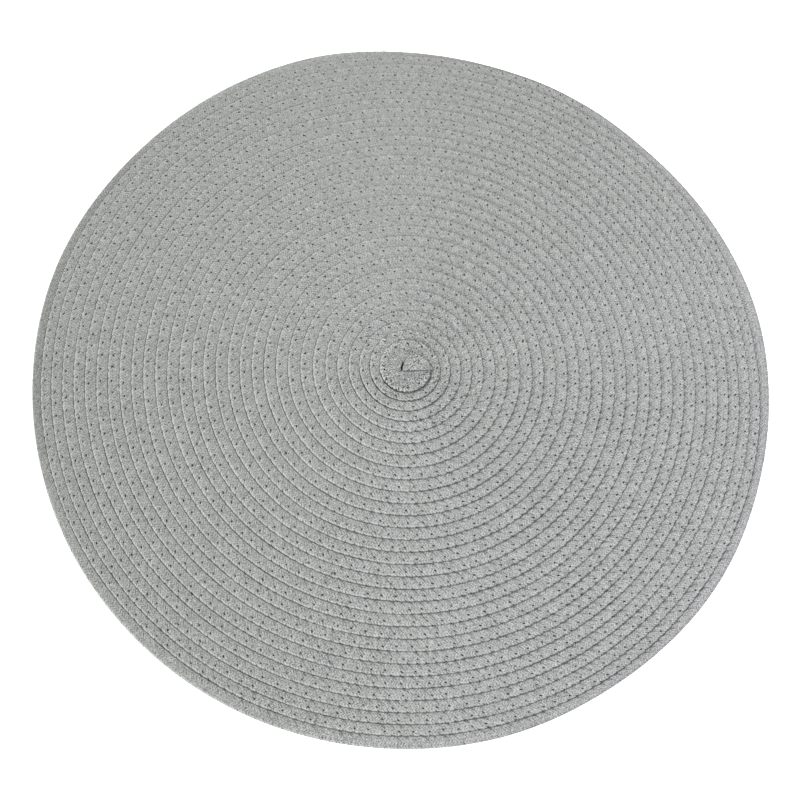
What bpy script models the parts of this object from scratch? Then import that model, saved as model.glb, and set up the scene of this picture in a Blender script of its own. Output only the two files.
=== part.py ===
"""A round placemat: one flat plaited band, wound flat in a spiral and sewn turn to turn.

Each turn of the band lies on the inner margin of the turn outside it, like a row of
shingles, so the top steps down at the outer edge of every turn. The band's folded start
fills the middle, and its cut end tapers away along the rim. The underside is flat.
The frame is the mat's own: the origin is on the underside, at the centre of the
outline's box, and +Z points up out of the mat.
"""

import math
from collections import namedtuple

import bmesh
import bpy
import numpy as np

MM = 0.001

# Driving sizes
FIRST_TURN = 2.0  # the folded start takes the room of the first two turns
LAST_TURN = 32.83  # turns from the winding's centre to the band's cut end
END_DIRECTION = math.radians(58.0)  # where the cut end lies, anticlockwise from +X
SEGMENTS = 60  # straight steps in one turn

# Heights of the top above the underside
FOOT_HEIGHT = 1.3 * MM  # inner margin, where it comes out from under its neighbour
CROWN_HEIGHT = 2.15 * MM  # along the middle of the band
LIP_HEIGHT = 2.3 * MM  # outer edge, where it lies on the next turn
RIM_CROWN_HEIGHT = 1.75 * MM  # the same two places on the last turn, which lies on nothing
RIM_LIP_HEIGHT = 1.2 * MM
CENTRE_HEIGHT = 1.9 * MM  # the folded start, at the winding's centre

# Places across the band
MOST_SHOWING = 6.3 * MM  # the widest that any turn of the band shows
CROWN_SHARE = 0.5  # of what shows, from the lip in to the crown
STEP_RUN = 0.2 * MM  # how far the step down from a lip leans outwards

EdgeAt = namedtuple("EdgeAt", "turn radius")
RimAt = namedtuple("RimAt", "degrees radius")

# How the band's outer edge spreads from the winding's centre, as it was sewn by eye
WINDING = (
    EdgeAt(2.0, 11.8 * MM),
    EdgeAt(3.0, 17.0 * MM),
    EdgeAt(6.4, 35.8 * MM),
    EdgeAt(10.4, 61.0 * MM),
    EdgeAt(13.3, 78.9 * MM),
    EdgeAt(16.2, 96.7 * MM),
    EdgeAt(19.0, 113.9 * MM),
    EdgeAt(27.7, 165.5 * MM),
    EdgeAt(30.6, 181.6 * MM),
    EdgeAt(31.83, 187.9 * MM),
)

# The last turn's outer edge, which is the mat's rim, by degrees clockwise of the cut end
RIM = (
    RimAt(0.0, 187.9 * MM),
    RimAt(13.0, 187.3 * MM),
    RimAt(28.0, 188.3 * MM),
    RimAt(48.0, 189.7 * MM),
    RimAt(63.0, 188.8 * MM),
    RimAt(76.0, 188.5 * MM),
    RimAt(93.0, 189.5 * MM),
    RimAt(118.0, 189.0 * MM),
    RimAt(133.0, 190.3 * MM),
    RimAt(148.0, 190.8 * MM),
    RimAt(178.0, 191.6 * MM),
    RimAt(203.0, 191.1 * MM),
    RimAt(236.0, 190.7 * MM),
    RimAt(253.0, 191.4 * MM),
    RimAt(278.0, 190.7 * MM),
    RimAt(298.0, 192.2 * MM),
    RimAt(313.0, 192.9 * MM),
    RimAt(328.0, 190.8 * MM),
    RimAt(346.0, 188.8 * MM),
    RimAt(360.0, 188.9 * MM),
)

STEPS = round((LAST_TURN - FIRST_TURN) * SEGMENTS)
# Rows of points across the band, from its inner side outwards
FOOT, CROWN, LIP, NEXT_FOOT = range(4)
SAME_POINT = 1e-6
GREY_YARN = (0.42, 0.43, 0.42, 1.0)


def clear_scene():
    for obj in list(bpy.data.objects):
        bpy.data.objects.remove(obj, do_unlink=True)


def smooth_between(table, place):
    """The radius at a place in the table's first column, along a smooth line through its rows."""
    places, values = np.array(table).T
    slopes = np.gradient(values, places)
    row = int(np.clip(np.searchsorted(places, place) - 1, 0, len(places) - 2))
    gap = places[row + 1] - places[row]
    t = (place - places[row]) / gap
    return (
        values[row] * (2 * t**3 - 3 * t**2 + 1)
        + slopes[row] * gap * (t**3 - 2 * t**2 + t)
        + values[row + 1] * (3 * t**2 - 2 * t**3)
        + slopes[row + 1] * gap * (t**3 - t**2)
    )


def edge_radius(turn):
    """How far the band's outer edge is from the winding's centre after so many turns."""
    rim_start = LAST_TURN - 1
    if turn > rim_start:
        return smooth_between(RIM, 360 * (turn - rim_start))
    return smooth_between(WINDING, turn)


def band_point(step, row):
    """A point of the top: one of the rows across the band, so many steps along it.

    The winding runs outwards clockwise, so its direction falls as the turns mount up.
    """
    turn = LAST_TURN - (STEPS - step) / SEGMENTS
    at_centre = step < SEGMENTS
    at_rim = step > STEPS - SEGMENTS
    lip = edge_radius(turn)
    foot = 0.0 if at_centre else edge_radius(turn - 1) + STEP_RUN
    crown = lip - CROWN_SHARE * min(lip - foot, MOST_SHOWING)
    radius, height = {
        FOOT: (foot, CENTRE_HEIGHT if at_centre else FOOT_HEIGHT),
        CROWN: (crown, RIM_CROWN_HEIGHT if at_rim else CROWN_HEIGHT),
        LIP: (lip, RIM_LIP_HEIGHT if at_rim else LIP_HEIGHT),
        NEXT_FOOT: (lip + STEP_RUN, FOOT_HEIGHT),
    }[row]
    direction = END_DIRECTION + 2 * math.pi * (LAST_TURN - turn)
    return (radius * math.cos(direction), radius * math.sin(direction), height)


def roll_up_band(mesh):
    """Lays a flat grid along the spiral, so that each turn's foot meets the turn before it."""
    bmesh.ops.create_grid(mesh, x_segments=STEPS, y_segments=NEXT_FOOT, size=0.5)
    past_the_rim = []
    for vert in mesh.verts:
        step = round((vert.co.x + 0.5) * STEPS)
        row = round((vert.co.y + 0.5) * NEXT_FOOT)
        vert.co = band_point(step, row)
        if row == NEXT_FOOT and step > STEPS - SEGMENTS:
            past_the_rim.append(vert)
    bmesh.ops.delete(mesh, geom=past_the_rim, context="VERTS")
    bmesh.ops.remove_doubles(mesh, verts=mesh.verts[:], dist=SAME_POINT)


def open_loops(mesh):
    """The open edges of the mesh, as one list of edges for each closed loop."""
    left = {edge for edge in mesh.edges if edge.is_boundary}
    loops = []
    while left:
        loop, fresh = [], [left.pop()]
        while fresh:
            edge = fresh.pop()
            loop.append(edge)
            for vert in edge.verts:
                touching = [e for e in vert.link_edges if e in left]
                left.difference_update(touching)
                fresh.extend(touching)
        loops.append(loop)
    return sorted(loops, key=len)


def close_underneath(mesh, outline):
    """Drops the rim straight down to the flat underside and fills that in."""
    made = bmesh.ops.extrude_edge_only(mesh, edges=outline)["geom"]
    for item in made:
        if isinstance(item, bmesh.types.BMVert):
            item.co.z = 0.0
    underside = [edge for edge in mesh.edges if edge.is_boundary]
    bmesh.ops.contextual_create(mesh, geom=underside)


def centre_on_outline(mesh):
    """Moves the mat so that the box round its outline is centred on the origin."""
    places = np.array([vert.co[:] for vert in mesh.verts])
    middle = (places.min(axis=0) + places.max(axis=0)) / 2
    for vert in mesh.verts:
        vert.co.x -= middle[0]
        vert.co.y -= middle[1]


def yarn_material():
    material = bpy.data.materials.new("grey_yarn")
    material.use_nodes = True
    shader = material.node_tree.nodes["Principled BSDF"]
    shader.inputs["Base Color"].default_value = GREY_YARN
    shader.inputs["Roughness"].default_value = 0.9
    shader.inputs["Metallic"].default_value = 0.0
    return material


def wound_band():
    """The sewn spiral as one closed body."""
    mesh = bmesh.new()
    roll_up_band(mesh)
    *inner_loops, outline = open_loops(mesh)
    for loop in inner_loops:
        bmesh.ops.contextual_create(mesh, geom=loop)
    close_underneath(mesh, outline)
    centre_on_outline(mesh)
    bmesh.ops.recalc_face_normals(mesh, faces=mesh.faces[:])
    data = bpy.data.meshes.new("wound_braid")
    mesh.to_mesh(data)
    mesh.free()
    data.materials.append(yarn_material())
    data.shade_smooth()
    data.set_sharp_from_angle(angle=math.radians(40.0))
    return bpy.data.objects.new("wound_braid", data)


def main():
    clear_scene()
    collection = bpy.data.collections.new("braided_placemat")
    bpy.context.scene.collection.children.link(collection)
    collection.objects.link(wound_band())


main()
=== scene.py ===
import math
from collections import namedtuple
from functools import partialmethod

import bpy
import numpy as np
from mathutils import Matrix, Vector


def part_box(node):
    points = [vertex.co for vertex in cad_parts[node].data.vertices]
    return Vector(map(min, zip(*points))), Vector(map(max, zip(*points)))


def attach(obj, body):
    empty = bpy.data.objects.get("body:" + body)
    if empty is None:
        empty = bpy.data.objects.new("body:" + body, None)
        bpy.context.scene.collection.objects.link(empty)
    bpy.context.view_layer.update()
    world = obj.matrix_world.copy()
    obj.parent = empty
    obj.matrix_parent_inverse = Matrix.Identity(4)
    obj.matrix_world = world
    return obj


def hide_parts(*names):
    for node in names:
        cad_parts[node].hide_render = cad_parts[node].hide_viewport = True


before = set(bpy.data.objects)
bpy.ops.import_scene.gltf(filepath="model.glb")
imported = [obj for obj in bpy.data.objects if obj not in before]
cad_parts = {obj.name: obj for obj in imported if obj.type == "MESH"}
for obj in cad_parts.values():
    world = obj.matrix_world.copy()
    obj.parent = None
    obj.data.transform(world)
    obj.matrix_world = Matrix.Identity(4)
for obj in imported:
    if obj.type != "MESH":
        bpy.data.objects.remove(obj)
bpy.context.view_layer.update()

# The looks of a round placemat: one flat plaited band, wound in a spiral and sewn turn to
# turn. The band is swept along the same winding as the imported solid, as the real one lies:
# each turn's outer part rests on the inner margin of the turn outside it.

MM = 0.001
MAT_LOW, MAT_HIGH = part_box("wound_braid")

# ---- The winding, as in the solid but for the rows before turn 3 and at the cut end ----
FIRST_TURN = 1.94  # where the band comes out from under the folded start
LAST_TURN = 32.83  # turns from the winding's centre to the band's cut end
END_DIRECTION = math.radians(58.0)  # where the cut end lies, anticlockwise from +X

EdgeAt = namedtuple("EdgeAt", "turn radius")
RimAt = namedtuple("RimAt", "degrees radius")

# How the band's outer edge spreads from the winding's centre, as it was sewn by eye
WINDING = (
    EdgeAt(1.0, 8.0 * MM),
    EdgeAt(1.94, 11.7 * MM),
    EdgeAt(2.1, 12.5 * MM),
    EdgeAt(3.0, 17.0 * MM),
    EdgeAt(6.4, 35.8 * MM),
    EdgeAt(10.4, 61.0 * MM),
    EdgeAt(13.3, 78.9 * MM),
    EdgeAt(16.2, 96.7 * MM),
    EdgeAt(19.0, 113.9 * MM),
    EdgeAt(27.7, 165.5 * MM),
    EdgeAt(30.6, 181.6 * MM),
    EdgeAt(31.83, 187.9 * MM),
)

# The last turn's outer edge, which is the mat's rim, by degrees clockwise of the cut end.
# The last two rows draw the tapered end in to the turn beside it.
RIM = (
    RimAt(0, 187.9 * MM),
    RimAt(13, 187.3 * MM),
    RimAt(28, 188.3 * MM),
    RimAt(48, 189.7 * MM),
    RimAt(63, 188.8 * MM),
    RimAt(76, 188.5 * MM),
    RimAt(93, 189.5 * MM),
    RimAt(118, 189.0 * MM),
    RimAt(133, 190.3 * MM),
    RimAt(148, 190.8 * MM),
    RimAt(178, 191.6 * MM),
    RimAt(203, 191.1 * MM),
    RimAt(236, 190.7 * MM),
    RimAt(253, 191.4 * MM),
    RimAt(278, 190.7 * MM),
    RimAt(298, 192.2 * MM),
    RimAt(313, 192.9 * MM),
    RimAt(328, 190.8 * MM),
    RimAt(346, 188.8 * MM),
    RimAt(353, 188.7 * MM),
    RimAt(360, 188.0 * MM),
)

# ---- The band ----
BAND_WIDTH = 10.0 * MM
PITCH = 5.94 * MM  # what a turn shows, on average
LEAST_TUCKED, MOST_TUCKED = 3.6 * MM, 4.6 * MM  # of its inner margin, under its neighbour
BARELY_TUCKED = 0.5 * MM  # the same where its foot lies far in, under the fold
STEP = 0.75 * MM  # between two lines of points across the band
LINES_A_STRAND = 6  # each strand is a flat bunch of yarns, this many lines wide
STRAND = LINES_A_STRAND * STEP  # along the band
YARNS_A_STRAND = 3  # side by side
YARN = STRAND / YARNS_A_STRAND
WIDE_SHARE = 1.15  # a turn that shows up to this times the pitch has its weave stretched
STRETCHES = 5  # pieces that the band is made in

DULL_TURNS = (32.42, 32.63)  # a darker stretch of the band
FINE_STEPS = 60000  # in which the band's length is measured
RIM_STEPS = 2000  # in which the rim's box is measured
RIM_BLEND = 0.04  # of a turn, in which the last turn comes down on to the table

# The band's section, once round from its outer edge over the top and back underneath: the
# share of what shows, from the outer edge to the foot, the share of the hidden margin beyond
# it, the height, the last turn's height, and how much of the plait's unevenness, of the
# strands' grooves and of the outer edge's scallops is felt there.
Row = namedtuple("Row", "shows tucked height rim relief groove edge", defaults=(0.0, 0.0, 0.0))
SECTION = (
    Row(0.000, 0.0, 1.55 * MM, 0.55 * MM, 0.3, 0.6, 1.0),
    Row(0.014, 0.0, 1.84 * MM, 0.80 * MM, 0.7, 1.0, 1.0),
    Row(0.060, 0.0, 2.15 * MM, 1.12 * MM, 1.0, 0.9, 0.8),
    Row(0.120, 0.0, 2.15 * MM, 1.36 * MM, 1.0, 0.4, 0.3),
    Row(0.250, 0.0, 2.10 * MM, 1.46 * MM, 1.0, 0.4),
    Row(0.355, 0.0, 2.06 * MM, 1.50 * MM, 1.0, 0.5),
    Row(0.460, 0.0, 2.08 * MM, 1.54 * MM, 1.0, 0.4),
    Row(0.570, 0.0, 2.09 * MM, 1.58 * MM, 1.0, 0.6),
    Row(0.690, 0.0, 2.08 * MM, 1.58 * MM, 1.0, 1.0),
    Row(0.800, 0.0, 2.05 * MM, 1.58 * MM, 1.0, 1.2),
    Row(0.890, 0.0, 2.00 * MM, 1.56 * MM, 1.0, 1.2),
    Row(0.960, 0.0, 1.86 * MM, 1.50 * MM, 0.8, 1.0),
    Row(1.000, 0.0, 1.42 * MM, 1.30 * MM, 0.2, 0.2),
    Row(1.000, 1.0, 0.45 * MM, 0.45 * MM),
    Row(1.000, 0.9, 0.00 * MM, 0.00 * MM),
    Row(1.000, 0.4, 0.16 * MM, 0.10 * MM),
    Row(0.600, 0.0, 1.02 * MM, 0.00 * MM),
    Row(0.050, 0.0, 1.25 * MM, 0.04 * MM, 0.0, 0.0, 1.0),
)

# ---- The plait's relief ----
# How each line of a strand lies: the first runs in the groove beside the strand
GROOVE_SHAPE = (-1.0, -0.30, 0.05, 0.15, 0.05, -0.30)
SCALLOP_SHAPE = (1.0, 0.15, -0.45, -0.60, -0.45, 0.15)
GROOVE_DEPTH = 0.15 * MM
SCALLOP_DEPTH = 0.26 * MM  # how far each notch in the outer edge goes in
YARN_HEIGHT = 0.035 * MM  # each yarn of a strand above the dip beside it
STRAND_UNEVEN = 0.06 * MM
BAND_UNEVEN, BAND_WAVE = 0.06 * MM, 14.0 * MM  # how much its height varies, and over what length
EDGE_UNEVEN, EDGE_WAVE = 0.12 * MM, 9.0 * MM  # the same for its outer edge
RIM_SCALLOPS = 0.2  # how much of the scallops and of the uneven edge is left along the rim
SMOOTH_SIDE = math.radians(205.0)  # where the scallops are slightest
SMOOTHED = 0.5  # how much slighter they are there
SMOOTH_REACH = (0.1, 0.9)  # from where to where, as the cosine of the angle to that side
LOOSE_TURN, LOOSE_SPREAD = 3.17, 0.19  # where the winding gapes beyond its first lip
LOOSE_GAP = 0.80 * MM
SEED = 11
SPREAD = 0.6  # of random values that stay about between -1 and 1

Shares = namedtuple("Shares", "mean spread least most")
GROOVE_SHARES = Shares(0.9, 0.4, 0.1, 1.8)  # of the groove's depth, strand by strand
SCALLOP_SHARES = Shares(0.9, 0.5, 0.0, 2.0)  # of the scallop's depth

# ---- The stitch holes ----
STITCH = 6.95 * MM
STITCH_PLACE = 0.355  # of what shows, from the outer edge
STITCH_SWAY = 0.05  # of what shows
STITCH_UNEVEN = 0.08  # of a stitch's length
SWAY_SHIFT = 5  # stitches, so that a hole's two wobbles differ
PIT_SHAPE = (1.0, 0.35, -0.20)  # from the hole's own line to the second one beside it
PIT_DEPTH, PIT_SPREAD = 0.50 * MM, 0.075  # the spread is a share of what shows
PILLOW_HEIGHT, PILLOW_SPREAD = 0.08 * MM, 0.22  # of the band between two stitches

# An uneven hand at the machine, as sines that don't repeat together from stitch to stitch
Wobble = namedtuple("Wobble", "share pace start")
WOBBLES = (Wobble(0.6, 2.4, 0.0), Wobble(0.4, 1.7, 1.0))

# ---- The bake map: where the faces of each piece lie on one square picture ----
# A sweep is laid in level strips, one above another, and its two ends are discs.
Block = namedtuple("Block", "left low width height strips first_disc")
BAND_BLOCK = Block(0.01, 0.01, 0.98, 0.85, 21, 0.40)
FOLD_BLOCK = Block(0.01, 0.87, 0.16, 0.12, 1, 0.60)
STRIP_FILLED = 0.95  # of a strip's height, to leave a margin
HIDDEN_SHARE = 0.25  # what is hidden is drawn this much smaller
DISC_HEIGHT, DISC_RADIUS, DISC_APART = 0.93, 0.03, 0.10
STITCHES_A_STRIP = 25  # and strips in a thread's picture
STITCH_CELL, STITCH_MARGIN = (0.18, 0.23), (0.05, 0.04)  # of a stitch's square, 5 by 4 cells

# ---- The sewing thread, which shows underneath ----
THREAD_RADIUS = 0.15 * MM
THREAD_END_HEIGHT = 0.55 * MM  # its ends go up into the needle holes
THREAD_BEND = 0.13  # of a stitch, from its end to where it lies level
THREAD_SECTION = ((1, 1), (0, 2), (-1, 1), (0, 0))  # sideways and up, in radii
POINTS_A_STITCH = 10  # its two ends, and then a section near each end

# ---- The folded start, which lies on the first turn: from the winding's centre ----
FOLD_LOW = -2.3 * MM  # its level lower edge
FOLD_LEFT = -3.5 * MM  # where a slit parts it from the first turn at its left
FOLD_TIP = (13.2 * MM, -1.1 * MM)
FOLD_LENGTH = FOLD_TIP[0] - FOLD_LEFT
FOLD_TOP = 2.6 * MM  # its height above the underside
FOLD_EDGE = 1.92 * MM  # the height of its rounded edges
FOLD_BED = 1.05 * MM  # the height of the first turn where it lies under the fold
FOLD_ROUNDING = 0.9 * MM
FOLD_SAG = 0.4 * MM  # how far the middle of its lower edge bends down
FOLD_RELIEF = 0.08 * MM  # the height of its strands
FOLD_LINES, FOLD_ROWS = 30, 20
FOLD_MIDDLE = (2.5 * MM, 1.0 * MM)  # where the first turn's hidden feet gather beneath it
FEET_SPREAD = 2.0 * MM  # how far round that they lie
UNCOVERED = (FIRST_TURN + 0.62, FIRST_TURN + 0.9)  # the turns between which they come out
UNDER_REACH = (0.2 * MM, 0.8 * MM)  # how far inside the fold's edge the first turn dips
SLIT_FLOOR = (0.06 * MM, 0.86 * MM)  # its two sides, from the top of its left side
SLIT_BEND = 0.6 * MM  # how far its middle bends to the left
SLIT_BEND_REACH = 5.0 * MM  # how far beyond it the fold bends with it
SLIT_GAPE = 0.4 * MM  # how much wider it is at its far end
SLIT_GAPE_REACH = (1.0 * MM, 4.0 * MM)  # where beyond it that fades
SLIT_GAPE_FROM = (0.2, 0.7)  # of the slit's length, where it widens

# The lines of points at the slit: how far to the right of its left side, and how high, each
# is. Those to the left are a patch of the first turn, so that the slit is sharp.
SlitLine = namedtuple("SlitLine", "beyond height")
SLIT_LINES = (
    SlitLine(-3.20 * MM, 1.60 * MM),
    SlitLine(-2.40 * MM, 2.02 * MM),
    SlitLine(-1.50 * MM, 2.16 * MM),
    SlitLine(-0.70 * MM, 2.20 * MM),
    SlitLine(-0.20 * MM, 2.18 * MM),
    SlitLine(0.00 * MM, 1.95 * MM),
    SlitLine(SLIT_FLOOR[0], 1.15 * MM),
    SlitLine(SLIT_FLOOR[1], 1.15 * MM),
    SlitLine(0.94 * MM, 1.90 * MM),
    SlitLine(1.20 * MM, 2.35 * MM),
    SlitLine(1.60 * MM, 2.52 * MM),
    SlitLine(2.20 * MM, FOLD_TOP),
)

# The fold's round outer edge, clockwise from the slit to its tip
EdgePoint = namedtuple("EdgePoint", "x y")
FOLD_ARC = (
    EdgePoint(-2.3 * MM, 3.4 * MM),
    EdgePoint(-0.4 * MM, 5.6 * MM),
    EdgePoint(2.2 * MM, 7.3 * MM),
    EdgePoint(6.0 * MM, 7.0 * MM),
    EdgePoint(9.6 * MM, 4.8 * MM),
    EdgePoint(*FOLD_TIP),
)

# The two parts of the first turn that lie lower, under the fold and under the slit's patch
UNDER_FOLD = ((FOLD_LEFT, FOLD_LOW), *FOLD_ARC)
UNDER_SLIT = (
    EdgePoint(FOLD_LEFT - 2.0 * MM, FOLD_LOW),
    EdgePoint(FOLD_LEFT - 1.2 * MM, FOLD_ARC[0].y),
    EdgePoint(FOLD_ARC[0].x + 1.5 * MM, FOLD_ARC[0].y),
    EdgePoint(FOLD_LEFT + 1.5 * MM, FOLD_LOW),
)


def smooth_between(table, places):
    """Values at places in the table's first column, along a smooth line through its rows."""
    known, values = np.array(table).T
    slopes = np.gradient(values, known)
    row = np.clip(np.searchsorted(known, places) - 1, 0, len(known) - 2)
    gap = known[row + 1] - known[row]
    t = (places - known[row]) / gap
    return (
        values[row] * (2 * t**3 - 3 * t**2 + 1)
        + slopes[row] * gap * (t**3 - 2 * t**2 + t)
        + values[row + 1] * (3 * t**2 - 2 * t**3)
        + slopes[row + 1] * gap * (t**3 - t**2)
    )


def smoothstep(low, high, value):
    """Goes smoothly from 0 to 1 as the value goes from low to high."""
    t = np.clip((value - low) / (high - low), 0, 1)
    return t * t * (3 - 2 * t)


def edge_radius(turns):
    """How far the band's outer edge is from the winding's centre after so many turns."""
    rim_start = LAST_TURN - 1
    at_rim = smooth_between(RIM, 360 * np.clip(turns - rim_start, 0, 1))
    return np.where(turns > rim_start, at_rim, smooth_between(WINDING, turns))


# How far along its middle the band has come after so many turns
FINE_TURNS = np.linspace(FIRST_TURN, LAST_TURN, FINE_STEPS + 1)
FINE_MIDDLE = edge_radius(FINE_TURNS) - PITCH / 2
FINE_ALONG = np.concatenate(
    ([0.0], np.cumsum(np.diff(FINE_TURNS) * math.pi * (FINE_MIDDLE[1:] + FINE_MIDDLE[:-1])))
)
BAND_LENGTH = FINE_ALONG[-1]
LAST_LINE = int(BAND_LENGTH / STEP)
SEWN_LENGTH = np.interp(LAST_TURN - 1, FINE_TURNS, FINE_ALONG)  # no turn lies beyond the last
DULL_FROM, DULL_TO = np.interp(DULL_TURNS, FINE_TURNS, FINE_ALONG)


def direction_at(turns):
    """The winding runs outwards clockwise, so its direction falls as the turns mount up."""
    return END_DIRECTION + 2 * math.pi * (LAST_TURN - turns)


def polar(radius, direction):
    return np.stack((radius * np.cos(direction), radius * np.sin(direction)), axis=-1)


def middle_of_outline():
    """The middle of the box round the rim, from the winding's centre."""
    turns = np.linspace(LAST_TURN - 1, LAST_TURN, RIM_STEPS + 1)
    rim = polar(edge_radius(turns), direction_at(turns))
    return (rim.min(axis=0) + rim.max(axis=0)) / 2


WINDING_CENTRE = (np.array(MAT_LOW)[:2] + np.array(MAT_HIGH)[:2]) / 2 - middle_of_outline()


# ---- The folded start ----
def fold_arc_radius(direction):
    """How far the fold's round outer edge is from the winding's centre."""
    arc = np.array(FOLD_ARC)[::-1]
    bearings = np.arctan2(arc[:, 1], arc[:, 0])
    radii = np.hypot(arc[:, 0], arc[:, 1])
    bearing = (direction + math.pi) % (2 * math.pi) - math.pi
    table = np.column_stack((bearings, radii))
    return smooth_between(table, np.clip(bearing, bearings[0], bearings[-1]))


def depth_inside(outline, flat):
    """How far inside a convex outline, which runs clockwise, each point lies."""
    start = np.array(outline)
    along = np.roll(start, -1, axis=0) - start
    along /= np.linalg.norm(along, axis=1)[:, None]
    inwards = np.column_stack((along[:, 1], -along[:, 0]))
    return ((flat[:, None] - start) * inwards).sum(axis=2).min(axis=1)


def foot_point(turns, direction):
    """Where each turn comes out: from beneath the fold, and then from under its neighbour."""
    beneath = np.array(FOLD_MIDDLE) + polar(FEET_SPREAD, direction)
    neighbour_turns = np.maximum(turns - 1, WINDING[0].turn)
    radius = np.where(
        neighbour_turns > FIRST_TURN, edge_radius(neighbour_turns), fold_arc_radius(direction)
    )
    radius = radius + LOOSE_GAP * np.exp(-(((turns - LOOSE_TURN) / LOOSE_SPREAD) ** 2))
    beside = smoothstep(*UNCOVERED, turns)[:, None]
    return beneath * (1 - beside) + polar(radius, direction) * beside


def across_at(along):
    """The outer edge, the way inwards and what shows, at each place along the band."""
    turns = np.interp(along, FINE_ALONG, FINE_TURNS)
    direction = direction_at(turns)
    lip = polar(edge_radius(turns), direction)
    foot = foot_point(turns, direction)
    showing = np.linalg.norm(lip - foot, axis=1)
    return turns, lip, (foot - lip) / showing[:, None], showing


# ---- The band's relief ----
def uneven(rng, along, wave):
    """Smooth random values, about 1 high, that change over the given length."""
    knots = np.arange(-2, BAND_LENGTH / wave + 3)
    return np.interp(along / wave, knots, rng.normal(0, SPREAD, len(knots)))


def random_shares(rng, shares, count):
    drawn = rng.normal(shares.mean, shares.spread, count)
    return np.clip(drawn, shares.least, shares.most)


def stitch_wobble(stitch):
    """How far off a stitch is: about -1 to 1, another for each stitch."""
    return sum(w.share * np.sin(w.pace * stitch + w.start) for w in WOBBLES)


def stitch_lines(stitch):
    """The line of points that a stitch hole falls on."""
    place = stitch + 0.5 + STITCH_UNEVEN * stitch_wobble(stitch)
    return np.floor(place * STITCH / STEP + 0.5)


def stitch_place(stitch):
    """How far across what shows a stitch hole is."""
    return STITCH_PLACE + STITCH_SWAY * stitch_wobble(stitch + SWAY_SHIFT)


def plait_relief():
    """Each line's place in its groove, scallop and yarn, its strand's rise, its wave and sway."""
    rng = np.random.default_rng(SEED)
    lines = np.arange(LAST_LINE + 1)
    strand, in_strand = np.divmod(lines, LINES_A_STRAND)
    strands = strand[-1] + 1
    groove_share = random_shares(rng, GROOVE_SHARES, strands)[strand]
    scallop_share = random_shares(rng, SCALLOP_SHARES, strands)[strand]
    rise = rng.normal(0, SPREAD, strands)[strand]
    groove = np.array(GROOVE_SHAPE)[in_strand] * groove_share
    scallop = np.array(SCALLOP_SHAPE)[in_strand] * scallop_share
    yarn = np.where(in_strand % 2 == 1, 1.0, -1.0)
    wave = uneven(rng, lines * STEP, BAND_WAVE)
    sway = uneven(rng, lines * STEP, EDGE_WAVE)
    return groove, scallop, yarn, rise, wave, sway


def stitch_relief():
    """Each line's needle pit, the swell between the stitches, and the pit's place across."""
    lines = np.arange(LAST_LINE + 1)
    stitch = np.floor(lines * STEP / STITCH)
    pit = (lines == stitch_lines(stitch)).astype(float) * (lines * STEP < SEWN_LENGTH)
    pit = sum(
        share * np.maximum(np.roll(pit, n), np.roll(pit, -n)) for n, share in enumerate(PIT_SHAPE)
    )
    pillow = np.abs(np.sin(math.pi * (lines * STEP / STITCH - 0.5)))
    return pit, pillow, stitch_place(stitch)


def place_in_band(row, scallop, sway, turns, showing):
    """How far in from the outer edge a row of points lies, at each line across the band."""
    tucked = np.clip(BAND_WIDTH - showing, LEAST_TUCKED, MOST_TUCKED)
    tucked = np.where(showing > BAND_WIDTH, BARELY_TUCKED, tucked)
    place = row.shows * showing + row.tucked * tucked
    at_rim = smoothstep(LAST_TURN - 1 - RIM_BLEND, LAST_TURN - 1, turns)
    scalloped = row.edge * (1 - (1 - RIM_SCALLOPS) * at_rim)
    side = np.cos(direction_at(turns) - SMOOTH_SIDE)
    smoothed = SMOOTHED * smoothstep(*SMOOTH_REACH, side)
    place += scalloped * SCALLOP_DEPTH * scallop * (1 - smoothed)
    return place + scalloped * EDGE_UNEVEN * sway


def dip_under_fold(flat, height):
    """Lowers the first turn to its bed where the fold, or the slit's patch, lies on it."""
    depth = np.maximum(depth_inside(UNDER_FOLD, flat), depth_inside(UNDER_SLIT, flat))
    under = smoothstep(*UNDER_REACH, depth)
    return np.where(height > FOLD_BED, height + (FOLD_BED - height) * under, height)


def band_points(first, last):
    """Points and places of the lines across the band from first to last, one column a row."""
    part = slice(first, last + 1)
    groove, scallop, yarn, rise, wave, sway = (each[part] for each in plait_relief())
    pit, pillow, pit_place = (each[part] for each in stitch_relief())
    points, places = [], []
    for row in SECTION:
        along = np.arange(first, last + 1) * STEP + row.shows * PITCH
        along = np.clip(along, 0, BAND_LENGTH)
        turns, lip, inwards, showing = across_at(along)
        flat = lip + inwards * place_in_band(row, scallop, sway, turns, showing)[:, None]
        on_table = smoothstep(LAST_TURN - 1, LAST_TURN - 1 + RIM_BLEND, turns)
        height = row.height + (row.rim - row.height) * on_table
        at_stitch = np.exp(-(((row.shows - pit_place) / PIT_SPREAD) ** 2))
        near_stitch = math.exp(-(((row.shows - STITCH_PLACE) / PILLOW_SPREAD) ** 2))
        height += GROOVE_DEPTH * row.groove * groove + row.relief * (
            YARN_HEIGHT * yarn
            + STRAND_UNEVEN * rise
            + BAND_UNEVEN * wave
            + PILLOW_HEIGHT * near_stitch * (pillow - 0.5)
            - PIT_DEPTH * at_stitch * pit
        )
        height = dip_under_fold(flat, height)
        points.append(np.column_stack((flat + WINDING_CENTRE, height)))
        wide = PITCH + np.maximum(0, showing - WIDE_SHARE * PITCH)
        places.append(np.column_stack((along, row.shows * wide)))
    return np.stack(points, axis=1), np.stack(places, axis=1)


# ---- Meshes ----
SHARP_ANGLE = math.radians(80.0)


def way_round():
    """How far round the section each row lies, in metres, and at last the way all round."""
    flat = [row.shows * PITCH + row.tucked * (BAND_WIDTH - PITCH) for row in SECTION]
    outline = np.column_stack((flat + flat[:1], [row.height for row in SECTION + SECTION[:1]]))
    return np.concatenate(([0.0], np.cumsum(np.linalg.norm(np.diff(outline, axis=0), axis=1))))


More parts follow.
